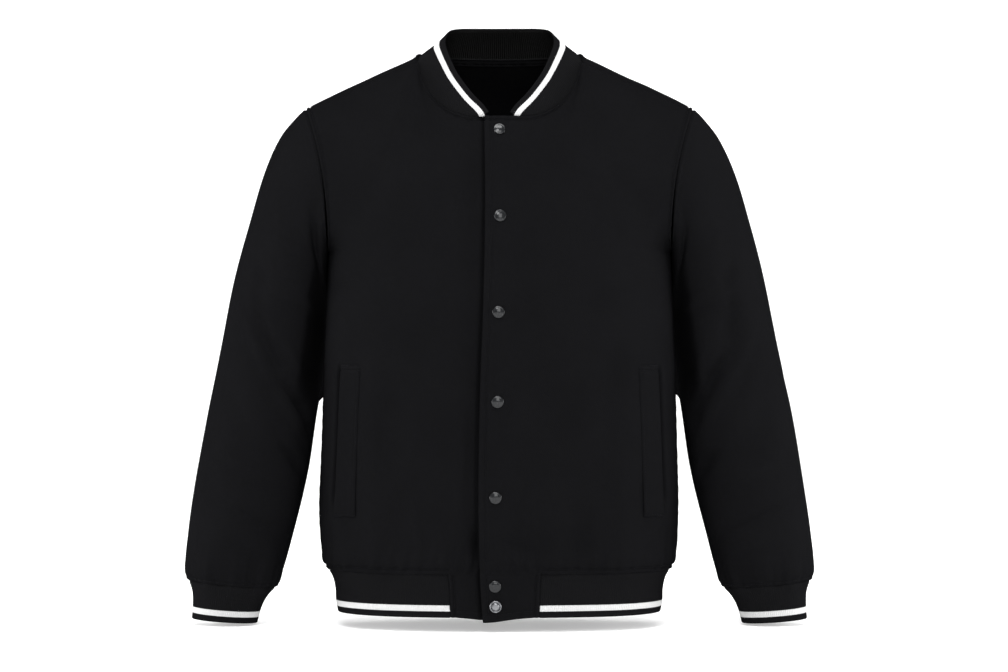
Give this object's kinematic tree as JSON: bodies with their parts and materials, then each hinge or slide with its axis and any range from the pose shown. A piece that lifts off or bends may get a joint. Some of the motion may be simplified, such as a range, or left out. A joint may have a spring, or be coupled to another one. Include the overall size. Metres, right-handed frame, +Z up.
{
  "type": "varsity jacket",
  "caption": "Worn, hollow varsity jacket with rib collar, cuffs and hem, each with one white stripe, slanted pocket welts and a snap front.",
  "frame": {"origin": "middle of the neck base, level with the tops of the shoulder seams at the neck, where the wearer's shoulders carry the jacket", "axes": "+Z up, -Y out of the front, +X to the viewer's right when facing the front, which is the wearer's left"},
  "size_m": [0.752, 0.234, 0.718],
  "materials": {
    "shell_cloth": "matte brushed cotton",
    "rib_knit": "matte rib knit with one white stripe",
    "tape": "matte woven tape",
    "snap_metal": "dark polished gunmetal"
  },
  "bodies": {
    "root": {"body_back": "shell_cloth", "front_right": "shell_cloth", "front_left": "shell_cloth", "sleeve_right": "shell_cloth", "sleeve_left": "shell_cloth", "pocket_welt_right": "shell_cloth", "pocket_welt_left": "shell_cloth", "hem_rib": "rib_knit", "cuff_right": "rib_knit", "cuff_left": "rib_knit", "collar": "rib_knit", "neck_tape": "tape", "snap_1": "snap_metal", "snap_2": "snap_metal", "snap_3": "snap_metal", "snap_4": "snap_metal", "snap_5": "snap_metal", "snap_6": "snap_metal", "snap_7": "snap_metal"}
  },
  "joints": []
}
